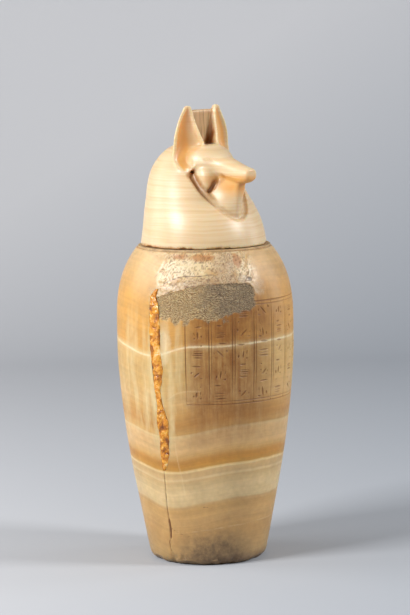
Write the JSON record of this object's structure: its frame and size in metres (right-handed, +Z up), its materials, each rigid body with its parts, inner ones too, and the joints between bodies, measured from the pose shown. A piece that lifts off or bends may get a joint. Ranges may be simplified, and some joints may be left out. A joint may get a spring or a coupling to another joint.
{
  "type": "canopic jar",
  "caption": "Tall shouldered stone jar with engraved columns of short strokes, an old filled fissure, and a lift-off stopper carved as a jackal's head with upright ears.",
  "frame": {"origin": "centre of the underside, on the surface the jar stands on", "axes": "+Z up along the jar's axis; -Y is the front, where the jackal looks and the inscription is; +X is the jackal's left"},
  "size_m": [0.1566, 0.1566, 0.4009],
  "materials": {
    "banded_calcite": "polished, worn",
    "pale_calcite": "polished, worn",
    "amber_resin": "glossy, crusted"
  },
  "bodies": {
    "root": {"jar": "banded_calcite", "fissure_fill": "amber_resin", "jackal_lid": "pale_calcite"}
  },
  "joints": []
}
